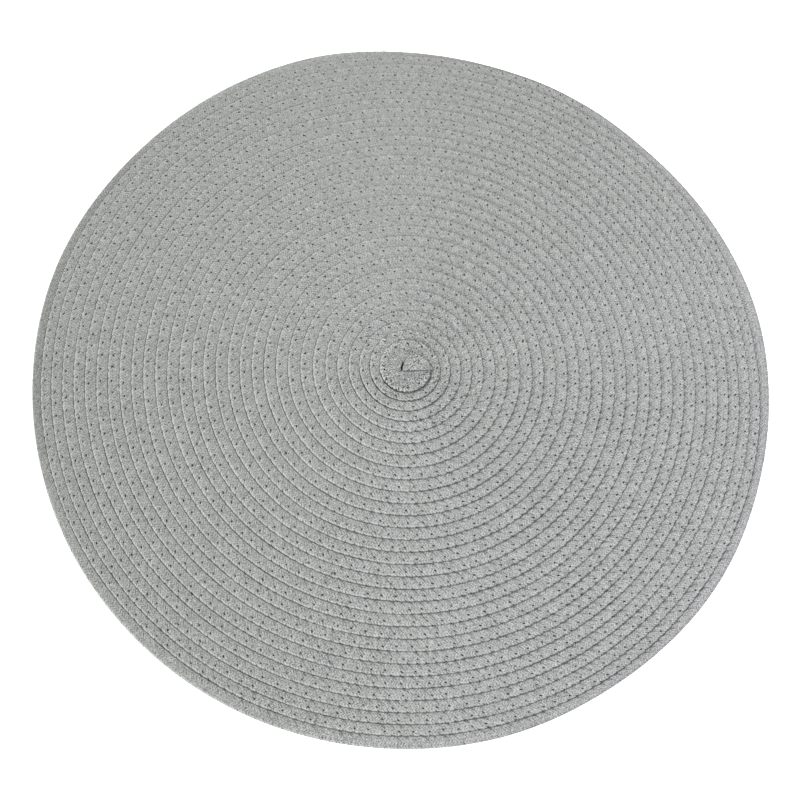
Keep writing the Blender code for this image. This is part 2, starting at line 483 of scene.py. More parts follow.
def bake_corners(lines, widths, block):
    """Corner places of a sweep's faces on the bake map, from the widths of its rows."""
    lines_a_strip = math.ceil((lines - 1) / block.strips)
    strip, place = np.divmod(np.arange(lines - 1), lines_a_strip)
    left = block.left + block.width * place[:, None] / lines_a_strip
    right = left + block.width / lines_a_strip
    rise = np.concatenate(([0.0], np.cumsum(widths))) / sum(widths) * STRIP_FILLED
    bottom = block.low + block.height * (strip[:, None] + rise) / block.strips
    low, high = bottom[:, :-1], bottom[:, 1:]
    corners = (left, low, right, low, right, high, left, high)
    quads = np.stack(np.broadcast_arrays(*corners), axis=-1).reshape(-1, 2)
    disc = polar(DISC_RADIUS, np.linspace(0, 2 * math.pi, len(widths), endpoint=False))
    discs = [disc + (block.first_disc + n * DISC_APART, DISC_HEIGHT) for n in (0, 1)]
    return np.concatenate((quads, *discs))


def closed_sweep(points, places, last_place):
    """Faces and corner places of a closed body from its lines of points, each once round."""
    lines, rows = points.shape[:2]
    index = np.arange(lines * rows).reshape(lines, rows)
    after = np.roll(index, -1, axis=1)
    quads = np.stack((index[:-1], index[1:], after[1:], after[:-1]), axis=-1).reshape(-1, 4)
    faces = quads.tolist() + [index[0].tolist(), index[-1][::-1].tolist()]
    wide = np.concatenate((places, last_place), axis=1)
    corners = np.stack((wide[:-1, :-1], wide[1:, :-1], wide[1:, 1:], wide[:-1, 1:]), axis=2)
    ends = (places[0], places[-1][::-1])
    return faces, np.concatenate((corners.reshape(-1, 2), *ends))


def stretch_shape(first, last):
    """Points, faces and both maps of the band from one line of points to another."""
    points, places = band_points(first, last)
    round_it = way_round()
    past_foot = next(n for n, row in enumerate(SECTION) if row.tucked > 0)
    for n in range(past_foot, len(SECTION)):
        places[:, n, 1] = places[:, past_foot - 1, 1] + round_it[n] - round_it[past_foot - 1]
    last_place = places[:, -1:] + (0.0, round_it[-1] - round_it[-2])
    widths = np.diff(round_it)
    widths[past_foot - 1 :] *= HIDDEN_SHARE
    bake = bake_corners(len(points), widths, BAND_BLOCK)
    return points.reshape(-1, 3), *closed_sweep(points, places, last_place), bake


def fold_places(beyond, q):
    """The fold's points from above: lines by how far each is beyond the slit's left side, and
    rows by their share q of the way from the fold's lower edge to its round one.
    """
    p = np.clip(beyond / FOLD_LENGTH, 0, 1)
    arc = np.array(FOLD_ARC)
    run = np.concatenate(([0.0], np.cumsum(np.linalg.norm(np.diff(arc, axis=0), axis=1))))
    run /= run[-1]
    upper = np.column_stack([smooth_between(np.column_stack((run, arc[:, n])), p) for n in (0, 1)])
    lower = np.array((FOLD_LEFT, FOLD_LOW)) * (1 - p[:, None]) + np.array(FOLD_TIP) * p[:, None]
    lower[:, 1] -= FOLD_SAG * np.sin(math.pi * p)
    flat = lower[:, None] * (1 - q[:, None]) + upper[:, None] * q[:, None]
    bends = 1 - smoothstep(0, SLIT_BEND_REACH, beyond)
    bend = SLIT_BEND * np.sin(math.pi * q) * bends[:, None]
    flat[:, :, 0] += np.minimum(beyond, 0)[:, None] - bend
    gapes = 1 - smoothstep(*SLIT_GAPE_REACH, beyond)
    gapes = np.where(beyond > FOLD_ROUNDING / 2, gapes, 0)
    flat[:, :, 0] += SLIT_GAPE * gapes[:, None] * smoothstep(*SLIT_GAPE_FROM, q)
    return flat


def fold_height(beyond, q, flat):
    """How high the fold's top is at each of its points."""
    p = np.clip(beyond / FOLD_LENGTH, 0, 1)
    slit = np.array(SLIT_LINES)
    from_sides = np.minimum(np.minimum(q, 1 - q) * BAND_WIDTH, (1 - p[:, None]) * FOLD_LENGTH)
    rounded = np.sqrt(1 - (1 - np.clip(from_sides / FOLD_ROUNDING, 0, 1)) ** 2)
    full = np.interp(beyond, slit[:, 0], slit[:, 1])[:, None]
    top = np.minimum(full, FOLD_EDGE + (full - FOLD_EDGE) * rounded)
    strands = np.sin(2 * math.pi * (flat[:, :, 0] - flat[:, :, 1]) / STRAND)
    return top + FOLD_RELIEF * strands * rounded * (full > FOLD_EDGE)


def fold_shape():
    """The band's folded start: a full width of it, rounded over at its edges."""
    slit = [line.beyond for line in SLIT_LINES]
    beyond = np.append(slit[:-1], np.linspace(slit[-1], FOLD_LENGTH, FOLD_LINES))
    q = np.linspace(0, 1, FOLD_ROWS)
    flat = fold_places(beyond, q)
    top = fold_height(beyond, q, flat)
    flat = flat + WINDING_CENTRE
    upper_side = np.concatenate((flat, top[:, :, None]), axis=2)
    bed = np.full((len(beyond), FOLD_ROWS, 1), FOLD_BED)
    lower_side = np.concatenate((flat[:, ::-1], bed), axis=2)
    points = np.concatenate((upper_side, lower_side), axis=1)
    across = np.concatenate(((1 - q) * BAND_WIDTH, BAND_WIDTH + (1 - q) * BAND_WIDTH))
    along = (beyond - FOLD_LENGTH)[:, None]
    places = np.stack(np.broadcast_arrays(along, across[None]), axis=-1)
    last_place = places[:, -1:] + (0.0, BAND_WIDTH / FOLD_ROWS)
    bake = bake_corners(len(points), np.ones(2 * FOLD_ROWS), FOLD_BLOCK)
    faces, corners = closed_sweep(points[:, ::-1], places[:, ::-1], last_place)
    return points.reshape(-1, 3), faces, corners, bake


def needle_holes(first, last):
    """Where the needle went through, from one line of the band to another, seen from above."""
    reach = np.array((first * STEP, min(last * STEP, SEWN_LENGTH))) / STITCH
    stitch = np.arange(*reach.astype(int))
    place = stitch_place(stitch)
    along = stitch_lines(stitch) * STEP + place * PITCH
    _, lip, inwards, showing = across_at(along)
    return lip + inwards * (place * showing)[:, None] + WINDING_CENTRE


def thread_shape(first, last):
    """A stitch from each needle hole to the next, pointed at both ends and four-sided."""
    holes = needle_holes(first, last)
    start, run = holes[:-1], np.diff(holes, axis=0)
    side = np.column_stack((-run[:, 1], run[:, 0]))
    side *= THREAD_RADIUS / np.linalg.norm(run, axis=1)[:, None]
    points = [(start, THREAD_END_HEIGHT), (start + run, THREAD_END_HEIGHT)]
    for share in (THREAD_BEND, 1 - THREAD_BEND):
        for sideways, height in THREAD_SECTION:
            points.append((start + run * share + side * sideways, height * THREAD_RADIUS))
    points = [np.column_stack((flat, np.full(len(flat), height))) for flat, height in points]
    faces, bake = [], []
    for n in range(4):
        near, beside = 2 + n, 2 + (n + 1) % 4
        far, far_beside = near + 4, beside + 4
        faces += [(0, beside, near), (near, beside, far_beside, far), (1, far, far_beside)]
        bake += [(0, n + 0.5), (1, n + 1), (1, n)]
        bake += [(1, n), (1, n + 1), (4, n + 1), (4, n)]
        bake += [(5, n + 0.5), (4, n), (4, n + 1)]
    strip, place = np.divmod(np.arange(len(start)), STITCHES_A_STRIP)
    cell = np.array(bake) * STITCH_CELL + STITCH_MARGIN
    corners = (np.stack((place, strip), axis=-1)[:, None] + cell) / STITCHES_A_STRIP
    firsts = range(0, POINTS_A_STITCH * len(start), POINTS_A_STITCH)
    every = [[first_point + corner for corner in face] for first_point in firsts for face in faces]
    return np.stack(points, axis=1).reshape(-1, 3), every, corners.reshape(-1, 2)


def build_piece(name, points, faces, places, material):
    """A smooth mesh object, with the places of its faces' corners on the named maps."""
    mesh = bpy.data.meshes.new(name)
    mesh.from_pydata(points.tolist(), [], faces)
    for map_name, corners in places.items():
        layer = mesh.uv_layers.new(name=map_name)
        layer.uv.foreach_set("vector", corners.astype(np.float32).ravel())
    mesh.shade_smooth()
    mesh.set_sharp_from_angle(angle=SHARP_ANGLE)
    mesh.materials.append(material)
    piece = bpy.data.objects.new(name, mesh)
    bpy.context.scene.collection.objects.link(piece)
    return piece


def build_stretch(number, first, last, material):
    """One stretch of the band; the first one has the folded start too."""
    points, faces, corners, bake = stretch_shape(first, last)
    if number == 1:
        more_points, more_faces, more_corners, more_bake = fold_shape()
        faces += [[corner + len(points) for corner in face] for face in more_faces]
        points = np.concatenate((points, more_points))
        corners = np.concatenate((corners, more_corners))
        bake = np.concatenate((bake, more_bake))
    places = {"BandPlace": corners, "OFBake": bake}
    return build_piece(f"braid_stretch_{number}", points, faces, places, material)


def build_thread(number, first, last, material):
    """The stitches under one stretch of the band."""
    points, faces, bake = thread_shape(first, last)
    return build_piece(f"sewing_thread_{number}", points, faces, {"OFBake": bake}, material)


# ---- Materials ----
Ramp = namedtuple("Ramp", "start end low high", defaults=(0.0, 1.0))


def new_material(name, finish):
    """A new material, its nodes and its shader, with the shader's named inputs set."""
    material = bpy.data.materials.new(name)
    material.use_nodes = True
    shader = material.node_tree.nodes["Principled BSDF"]
    for input_name, value in finish.items():
        shader.inputs[input_name].default_value = value
    return material, material.node_tree, shader


def add_bump(tree, shader, height, distance):
    bump = tree.nodes.new("ShaderNodeBump")
    bump.inputs["Distance"].default_value = distance
    tree.links.new(height, bump.inputs["Height"])
    tree.links.new(bump.outputs[0], shader.inputs["Normal"])


class Value:
    """A number that changes over a surface, worked out by a material's nodes."""

    def __init__(self, tree, socket):
        self.tree = tree
        self.socket = socket

    def combined(self, operation, *others):
        node = self.tree.nodes.new("ShaderNodeMath")
        node.operation = operation
        for n, value in enumerate((self, *others)):
            if isinstance(value, Value):
                self.tree.links.new(value.socket, node.inputs[n])
            else:
                node.inputs[n].default_value = value
        return Value(self.tree, node.outputs[0])

    __add__ = partialmethod(combined, "ADD")
    __sub__ = partialmethod(combined, "SUBTRACT")
    __mul__ = partialmethod(combined, "MULTIPLY")
    __truediv__ = partialmethod(combined, "DIVIDE")
    floor = partialmethod(combined, "FLOOR")
    fraction = partialmethod(combined, "FRACT")
    sine = partialmethod(combined, "SINE")
    root = partialmethod(combined, "SQRT")
    absolute = partialmethod(combined, "ABSOLUTE")
    above = partialmethod(combined, "GREATER_THAN")
    greater = partialmethod(combined, "MAXIMUM")

    def squared(self):
        return self * self

    def ramp(self, ramp):
        """Goes smoothly from low to high as this value goes from start to end."""
        node = self.tree.nodes.new("ShaderNodeMapRange")
        node.interpolation_type = "SMOOTHSTEP"
        for name, value in zip(("From Min", "From Max", "To Min", "To Max"), ramp):
            node.inputs[name].default_value = value
        self.tree.links.new(self.socket, node.inputs["Value"])
        return Value(self.tree, node.outputs[0])


def join(x, y, z=None):
    node = x.tree.nodes.new("ShaderNodeCombineXYZ")
    for n, value in enumerate((x, y, z)):
        if value is not None:
            x.tree.links.new(value.socket, node.inputs[n])
    return node.outputs[0]


def noise(x, y, z=None, detail=0.0, roughness=0.5):
    """Smooth noise from 0 to 1, with features about 1 across."""
    node = x.tree.nodes.new("ShaderNodeTexNoise")
    node.inputs["Scale"].default_value = 1.0
    node.inputs["Detail"].default_value = detail
    node.inputs["Roughness"].default_value = roughness
    x.tree.links.new(join(x, y, z), node.inputs["Vector"])
    return Value(x.tree, node.outputs[0])


def random_of(x, y=None):
    """Another number from 0 to 1 for each value, with no smooth change between."""
    node = x.tree.nodes.new("ShaderNodeTexWhiteNoise")
    node.noise_dimensions = "2D"
    x.tree.links.new(join(x, y if y is not None else x), node.inputs["Vector"])
    return Value(x.tree, node.outputs[0])


def mixed(share, first, second):
    return first + (second - first) * share


def first_two(tree, place):
    split = tree.nodes.new("ShaderNodeSeparateXYZ")
    tree.links.new(place, split.inputs[0])
    return Value(tree, split.outputs[0]), Value(tree, split.outputs[1])


def without(mark, share):
    """1 where there is no mark, and less by this share where it is full."""
    return mark * -share + 1.0


# ---- The yarn's look ----
# In its material lengths are in millimetres, along the band from where the folded start ends
# and across it from its outer edge inwards.
DARK_GREY = (0.006, 0.006, 0.006, 1.0)
LIGHT_GREY = (0.582, 0.594, 0.583, 1.0)

# Past the fold, in the first turns, and before the hidden margin
PAST_FOLD = Ramp(45.0, 60.0)
AT_START = Ramp(220.0, 60.0)
IN_CORE = Ramp(900.0, 200.0)
BEFORE_FOOT = Ramp(6.4, 6.0)

# The plait: each yarn of two sets goes over two and then under two of the other set
SECOND_SET = 2.68  # how far on the second set lies, in millimetres
PATTERN = 4.0  # yarns in the pattern
COMES_UP = 1.76  # in yarns, where one comes up in it
NEW_TONES = (1.26, 0.74)  # in yarns, where one of either set takes another tone in it
SECOND_TONES = 0.37  # so that the second set's tones differ from the first's
ROUND_SHARE, BEND_SHARE = 0.55, 0.45  # of the height, by a yarn's shape and by its path
FIBRES_ACROSS, FIBRES_ALONG = 2.7, 0.8  # in a yarn's width
FIBRE_SHIFT = 3.7  # gives each yarn its own fibres
FUZZ_GRAIN = 2.6  # in a millimetre
PATCHES_ALONG, PATCHES_ACROSS = 0.12, 0.3  # in a millimetre
STROKES_ACROSS, STROKES_ALONG = 1.1, 0.8  # in a yarn's width

# Painted shade in the strands' grooves, between them at the foot, in the other set's grooves
# there, in the notches of the lip and in the gaps at the foot; short strokes; and painted
# shade in each yarn's creases
GROOVE = Ramp(0.62, 0.1)
GROOVE_FROM, GROOVE_TO = Ramp(2.6, 3.6), Ramp(6.4, 5.6)
GROOVE_UNEVEN = Ramp(0.0, 0.7, 0.3, 1.0)
BETWEEN, BETWEEN_SLANT = Ramp(3.3, 5.0), 0.9
BETWEEN_UNEVEN = Ramp(0.0, 0.6, 0.4, 1.0)
OTHER_GROOVE, OTHER_FROM = Ramp(0.65, 0.2), Ramp(3.6, 4.8)
OTHER_UNEVEN, OTHER_SHIFT = Ramp(0.1, 0.6), 0.71
NOTCH = Ramp(1.1, 0.3)
GAP, GAP_UNEVEN = Ramp(5.0, 5.6), Ramp(0.6, 0.9)
STROKE = Ramp(0.64, 0.74)
CREASE = Ramp(0.60, 0.15)

# The needle holes are slanting ovals of painted shade over the pits, with a painted highlight
# before each, where the yarn beside a hole catches the light
HOLE_SLANT = math.radians(25.0)  # from the band's length
HOLE_LENGTH, HOLE_LONGER, HOLE_WIDTH = 0.50, 0.24, 0.37  # half its size, at most that longer
HOLE_EDGE, HOLE_UNEVEN = Ramp(1.8, 0.3), Ramp(0.0, 0.5, 0.8, 1.0)
FLECK_BEFORE, FLECK_LENGTH, FLECK_WIDTH = 1.1, 0.45, 0.55
FLECK_EDGE, FLECK_UNEVEN = Ramp(1.5, 0.2), Ramp(0.3, 1.0)
LENGTH_DRAW, DEPTH_DRAW, FLECK_DRAW = 3.0, 5.0, 9.0  # which of a stitch's random numbers

# The painted light and shade, and how crisp the plait is, change towards these sides, in
# degrees anticlockwise from +X. A place's share of a side goes from -1 opposite it to 1
# straight towards it.
Sides = namedtuple("Sides", "near near_right right far_right far left")
SIDES = Sides(near=-80.0, near_right=-60.0, right=-10.0, far_right=30.0, far=55.0, left=218.0)

# How crisp the plait is: from the near side to the far side, in metres, at the left, and by
# the way along the band
CRISP_NORTH = Ramp(-0.19, 0.19, 1.20, 0.87)
CRISP_LEFT, CRISP_FAR_LEFT = Ramp(0.4, 0.8, 1.0, 1.12), Ramp(0.8, 1.0, 1.0, 0.88)
CRISP_INSIDE, CRISP_AT_START = Ramp(0.0, 1400.0, 1.30, 1.0), Ramp(60.0, 220.0, 1.25, 1.0)

# What each part changes in the tone, which is 0 for the dark grey and 1 for the light one.
# The crowns' part is painted light on the yarns' tops, the creases', grooves', notches' and
# gaps' parts are painted shade, and the part before each hole is a painted highlight
MIDDLE_TONE = 0.625
FIBRE_TONE, FUZZ_TONE, YARN_TONE, PATCH_TONE = 1.30, 0.95, 0.10, 0.06
CROWN_LIGHT, CREASE_SHADE, GROOVE_SHADE, NOTCH_SHADE = 0.12, 0.18, 0.10, 0.25
FLECK_HIGHLIGHT, GAP_SHADE, STROKE_TONE = 0.34, 0.25, 0.45
# Painted shade in the needle holes, in the slit and along the fold's lower edge
HOLE_SHADE, SLIT_SHADE, FOLD_EDGE_SHADE = 0.95, 0.92, 0.75  # of the tone, taken away

# Painted light on the lips, most at the left and in the first turns, and painted light and
# shade on each turn as a whole, by side
LIP = Ramp(0.95, 0.4)
LIP_LEFT, LIP_NOT_LEFT = Ramp(0.2, 1.0, 0.0, 0.60), Ramp(-0.9, -0.2, -0.10, 0.0)
LIP_NEAR_RIGHT = Ramp(0.7, 1.0, 0.0, -0.14)
LIP_CORE = 0.3  # how much more in the first turns
LIGHT_ACROSS = Ramp(0.5, 2.4, 1.03, 0.97)
LIGHT_LEFT, LIGHT_NEAR = Ramp(0.4, 1.0, 1.0, 0.95), Ramp(0.8, 1.0, 1.0, 1.03)
LIGHT_LOWER_RIGHT = Ramp(1.1, 1.8, 1.0, 0.96)  # by two sides' shares together

# The painted shade beside the feet and between the strands: where it lies, and how it changes
# the tone at each side. At the right and the far right the feet get painted light, which
# lifts the shade cast there
FOOT, PAST_FOOT = Ramp(5.30, 5.85), Ramp(8.2, 7.6)
FOOT_WIDER = 0.2  # how much wider at most at the near side, and in the first turns
FOOT_NEAR, FOOT_LEFT = Ramp(-0.5, 0.7, -0.12, -0.42), Ramp(0.75, 1.0, 0.0, -0.26)
FOOT_RIGHT, FOOT_FAR_RIGHT = Ramp(0.75, 1.0, 0.0, 0.30), Ramp(0.6, 1.0, 0.0, 0.35)
FOOT_CORE = 0.45  # how much more in the first turns
BETWEEN_NEAR_RIGHT = Ramp(0.3, 0.9, 0.0, -0.40)
BETWEEN_FAR_RIGHT = Ramp(0.5, 1.0, 0.0, -0.07)
OTHER_FAR_RIGHT = Ramp(0.2, 0.8, 0.0, -0.34)

# Painted shade at both edges of each turn at the far right and the far side, so that the turns
# look rounder there
ROUNDER_FOOT, ROUNDER_LIP = Ramp(3.8, 5.6, 0.0, 0.15), Ramp(1.3, 0.3, 0.0, 0.12)
ROUNDER_FAR_RIGHT = Ramp(0.45, 0.95)
SOFT_LIP, SOFT_FOOT = Ramp(2.4, 0.5, 0.0, 0.10), Ramp(4.6, 5.9, 0.0, 0.05)
SOFT_FAR = Ramp(0.8, 1.0)

# The darker stretch, the painted shade in the slit from its left side on, and the painted
# shade along the fold's lower edge, which ends towards its tip
DULLEST, DULL_FADE = 0.82, 60.0
SLIT_IN, SLIT_OUT = Ramp(SLIT_FLOOR[0] / MM, 0.10), Ramp(1.25, SLIT_FLOOR[1] / MM)
FOLD_END, FOLD_EDGE_FADE = Ramp(0.0, -0.2), Ramp(-7.0, -2.0, 1.0, 0.25)
FOLD_EDGE_IN, FOLD_EDGE_OUT = Ramp(9.3, 9.8), Ramp(10.6, 10.2)

SHEEN = {"Sheen Weight": 0.15, "Sheen Roughness": 0.5}
YARN_FINISH = {"Roughness": 0.92, "Specular IOR Level": 0.25, **SHEEN}
# The bump's height, in millimetres
WEAVE_BUMP, FIBRE_BUMP, FUZZ_BUMP, HOLE_BUMP, GROOVE_BUMP = 0.26, 0.18, 0.18, 0.30, 0.12

Plait = namedtuple("Plait", "along across a b")
Weave = namedtuple("Weave", "height fibres fuzz tones")
Marks = namedtuple("Marks", "groove notch gap between other hole fleck")


def plait_places(tree):
    """Where a place lies on the band in millimetres, and across each set of yarns in yarns."""
    uv_map = tree.nodes.new("ShaderNodeUVMap")
    uv_map.uv_map = "BandPlace"
    along, across = (value / MM for value in first_two(tree, uv_map.outputs[0]))
    a = (along - across) / (YARN / MM)
    b = (along + across - SECOND_SET) / (YARN / MM)
    return Plait(along, across, a, b)


def weave_of(plait):
    """The yarns where they cross: the upper one's height, fibres, fuzz and tone."""
    a, b = plait.a, plait.b
    a_yarn, b_yarn = a.floor(), b.floor()
    turn_a = (b - a_yarn - 0.5 + COMES_UP) * (2 * math.pi / PATTERN)
    turn_b = (b_yarn + 0.5 - a + COMES_UP) * (2 * math.pi / PATTERN)
    round_a, round_b = ((yarns.fraction() * math.pi).sine() for yarns in (a, b))
    height_a = round_a * ROUND_SHARE + turn_a.sine() * BEND_SHARE
    height_b = round_b * ROUND_SHARE - turn_b.sine() * BEND_SHARE
    a_on_top = height_a.above(height_b)
    fibres_a = noise(a * FIBRES_ACROSS, b * FIBRES_ALONG, a_yarn * FIBRE_SHIFT, detail=1.0)
    fibres_b = noise(b * FIBRES_ACROSS, a * FIBRES_ALONG, b_yarn * FIBRE_SHIFT, detail=1.0)
    grain = (plait.along * FUZZ_GRAIN, plait.across * FUZZ_GRAIN)
    tone_a = random_of(a_yarn, ((b - a_yarn + NEW_TONES[0]) / PATTERN).floor())
    tone_b = random_of(b_yarn + SECOND_TONES, ((a - b_yarn + NEW_TONES[1]) / PATTERN).floor())
    return Weave(
        height=height_a.greater(height_b),
        fibres=mixed(a_on_top, fibres_b, fibres_a),
        fuzz=noise(*grain, detail=1.0, roughness=0.7),
        tones=mixed(a_on_top, tone_b, tone_a),
    )


def beside_groove(yarns):
    """How far off the nearest groove between two strands is, in millimetres, and its number."""
    strands = yarns / YARNS_A_STRAND + 0.5
    return (strands.fraction() - 0.5).absolute() * (STRAND / MM), strands.floor()


def node_wobble(stitch):
    """stitch_wobble, by nodes, so that the painted shade of each hole falls on its pit."""
    first, second = ((stitch * w.pace + w.start).sine() * w.share for w in WOBBLES)
    return first + second


def needle_marks(plait):
    """The needle holes' painted shade, and the painted highlight before each."""
    line = plait.along - plait.across
    stitch = (line / (STITCH / MM)).floor()
    hole_line = (stitch + 0.5 + node_wobble(stitch) * STITCH_UNEVEN) * (STITCH / STEP)
    hole_line = (hole_line + 0.5).floor() * (STEP / MM)
    hole_across = (node_wobble(stitch + SWAY_SHIFT) * STITCH_SWAY + STITCH_PLACE) * (PITCH / MM)
    beside, inwards = line - hole_line, plait.across - hole_across
    onwards = beside + inwards
    lengthways = onwards * math.cos(HOLE_SLANT) + inwards * math.sin(HOLE_SLANT)
    sideways = inwards * math.cos(HOLE_SLANT) - onwards * math.sin(HOLE_SLANT)
    half_length = random_of(stitch, stitch + LENGTH_DRAW) * HOLE_LONGER + HOLE_LENGTH
    from_hole = (lengthways / half_length).squared() + (sideways / HOLE_WIDTH).squared()
    sewn = line.ramp(Ramp(SEWN_LENGTH / MM + 1, SEWN_LENGTH / MM))
    # Painted shade in each hole, which also dents the bump
    hole = from_hole.ramp(HOLE_EDGE) * sewn
    hole = hole * random_of(stitch, stitch + DEPTH_DRAW).ramp(HOLE_UNEVEN)
    from_fleck = ((beside + FLECK_BEFORE) / FLECK_LENGTH).squared()
    from_fleck = from_fleck + (inwards / FLECK_WIDTH).squared()
    # A painted highlight before each hole, where the yarn catches the light
    fleck = from_fleck.ramp(FLECK_EDGE)
    fleck = fleck * random_of(stitch, stitch + FLECK_DRAW).ramp(FLECK_UNEVEN)
    return hole, fleck


def marks_of(plait):
    """The marks of the strands and of the needle, each from 0 to 1: in the tone most are painted
    shade, and the one before each hole is a painted highlight.
    """
    across = plait.across
    before_foot = across.ramp(BEFORE_FOOT)
    past_fold = plait.along.ramp(PAST_FOLD)
    beside, number = beside_groove(plait.a)
    share = random_of(number)
    groove = beside.ramp(GROOVE)
    between = (across - beside * BETWEEN_SLANT).ramp(BETWEEN) * before_foot
    beside_other, other_number = beside_groove(plait.b)
    other_share = random_of(other_number + OTHER_SHIFT)
    other = beside_other.ramp(OTHER_GROOVE) * across.ramp(OTHER_FROM) * before_foot
    gap = groove * across.ramp(GAP) * before_foot
    shown = groove * across.ramp(GROOVE_FROM) * across.ramp(GROOVE_TO)
    hole, fleck = needle_marks(plait)
    return Marks(
        groove=shown * share.ramp(GROOVE_UNEVEN),
        notch=groove * across.ramp(NOTCH),
        gap=gap * share.ramp(GAP_UNEVEN) * past_fold,
        between=between * share.ramp(BETWEEN_UNEVEN) * past_fold,
        other=other * other_share.ramp(OTHER_UNEVEN) * past_fold,
        hole=hole,
        fleck=fleck,
    )


def side_shares(tree):
    """How far a place lies towards each side, and how far north of the winding's centre."""
    place = tree.nodes.new("ShaderNodeTexCoord").outputs["Object"]
    east, north = (v - middle for v, middle in zip(first_two(tree, place), WINDING_CENTRE))
    radius = (east.squared() + north.squared()).root()
    angles = [math.radians(side) for side in SIDES]
    shares = [(east * math.cos(angle) + north * math.sin(angle)) / radius for angle in angles]
    return Sides(*shares), north


def plain_tone(plait, weave, marks, sides, north):
    """The tone of the yarns and of the marks on them: painted shade in the creases, grooves,
    notches and gaps, painted light on the crowns and a painted highlight before each hole. It
    comes before the painted light and shade by side.
    """
    crisp = north.ramp(CRISP_NORTH) * sides.left.ramp(CRISP_LEFT)
    crisp = crisp * sides.left.ramp(CRISP_FAR_LEFT)
    crisp = crisp * (plait.along.ramp(CRISP_INSIDE) * plait.along.ramp(CRISP_AT_START))
    # Painted shade where the yarns dip, and painted light on their crowns further down
    crease = weave.height.ramp(CREASE)
    patches = noise(plait.along * PATCHES_ALONG, plait.across * PATCHES_ACROSS, detail=2.0)
    strokes = noise(plait.a * STROKES_ACROSS, plait.b * STROKES_ALONG)
    strokes = strokes.ramp(STROKE) * plait.along.ramp(AT_START)
    tone = (weave.fibres - 0.5) * FIBRE_TONE + (weave.fuzz - 0.5) * FUZZ_TONE
    tone = tone + (weave.tones - 0.5) * YARN_TONE - crease * CREASE_SHADE
    tone = tone * crisp + (patches - 0.5) * PATCH_TONE + weave.height * CROWN_LIGHT + MIDDLE_TONE
    # Painted shade in the grooves, the lip's notches and the gaps at the foot, and a painted
    # highlight before each hole
    tone = tone - marks.groove * GROOVE_SHADE - marks.notch * NOTCH_SHADE
    return tone + marks.fleck * FLECK_HIGHLIGHT - marks.gap * GAP_SHADE - strokes * STROKE_TONE


def painted_light_by_side(plait, sides):
    """Painted light and shade on each turn by side, most of all painted light at its lip."""
    core = plait.along.ramp(IN_CORE)
    # Painted light on each lip: most at the left, less elsewhere and at the near right
    lip = sides.left.ramp(LIP_LEFT) + sides.left.ramp(LIP_NOT_LEFT)
    lip = lip * (core * LIP_CORE + 1.0) + sides.near_right.ramp(LIP_NEAR_RIGHT)
    lit = plait.across.ramp(LIP) * lip + 1.0
    lit = lit * plait.across.ramp(LIGHT_ACROSS) * sides.left.ramp(LIGHT_LEFT)
    lower_right = sides.right + sides.near_right
    return lit * lower_right.ramp(LIGHT_LOWER_RIGHT) * sides.near.ramp(LIGHT_NEAR)


def painted_shade_by_side(plait, marks, sides):
    """Painted shade beside the feet, between the strands and at both edges of each turn, by side.
    """
    along, across = plait.along, plait.across
    before_foot = across.ramp(BEFORE_FOOT)
    core = along.ramp(IN_CORE)
    # Painted shade in the crease beside each foot; at the right it turns to painted light
    foot = (across + sides.near * FOOT_WIDER + core * FOOT_WIDER).ramp(FOOT)
    foot = foot * across.ramp(PAST_FOOT) * along.ramp(PAST_FOLD)
    gape = sides.near.ramp(FOOT_NEAR) + sides.left.ramp(FOOT_LEFT)
    gape = gape * (core * FOOT_CORE + 1.0) + sides.right.ramp(FOOT_RIGHT)
    shaded = foot * (gape + sides.far_right.ramp(FOOT_FAR_RIGHT)) + 1.0
    between = sides.near_right.ramp(BETWEEN_NEAR_RIGHT) + sides.far_right.ramp(BETWEEN_FAR_RIGHT)
    shaded = shaded * (marks.between * between + 1.0)
    shaded = shaded * (marks.other * sides.far_right.ramp(OTHER_FAR_RIGHT) + 1.0)
    # Painted shade at both edges of each turn, at the far right and the far side
    rounder = across.ramp(ROUNDER_FOOT) * before_foot + across.ramp(ROUNDER_LIP)
    shaded = shaded * without(rounder * sides.far_right.ramp(ROUNDER_FAR_RIGHT), 1.0)
    soft = across.ramp(SOFT_LIP) + across.ramp(SOFT_FOOT) * before_foot
    return shaded * without(soft * sides.far.ramp(SOFT_FAR), 1.0)


def dull_place(along):
    """How light the band is along its length: a little darker in one stretch of the last turn."""
    dull_from, dull_to = DULL_FROM / MM, DULL_TO / MM
    start = along.ramp(Ramp(dull_from, dull_from + DULL_FADE, 1.0, DULLEST))
    return start.greater(along.ramp(Ramp(dull_to - DULL_FADE, dull_to, DULLEST, 1.0)))


def fold_marks(plait):
    """The painted shade in the slit beside the fold and at its lower edge, each from 0 to 1."""
    along, across = plait.along, plait.across
    beyond = along + FOLD_LENGTH / MM
    slit = beyond.ramp(SLIT_IN) * beyond.ramp(SLIT_OUT)
    edge = along.ramp(FOLD_END) * along.ramp(FOLD_EDGE_FADE)
    return slit, edge * across.ramp(FOLD_EDGE_IN) * across.ramp(FOLD_EDGE_OUT)


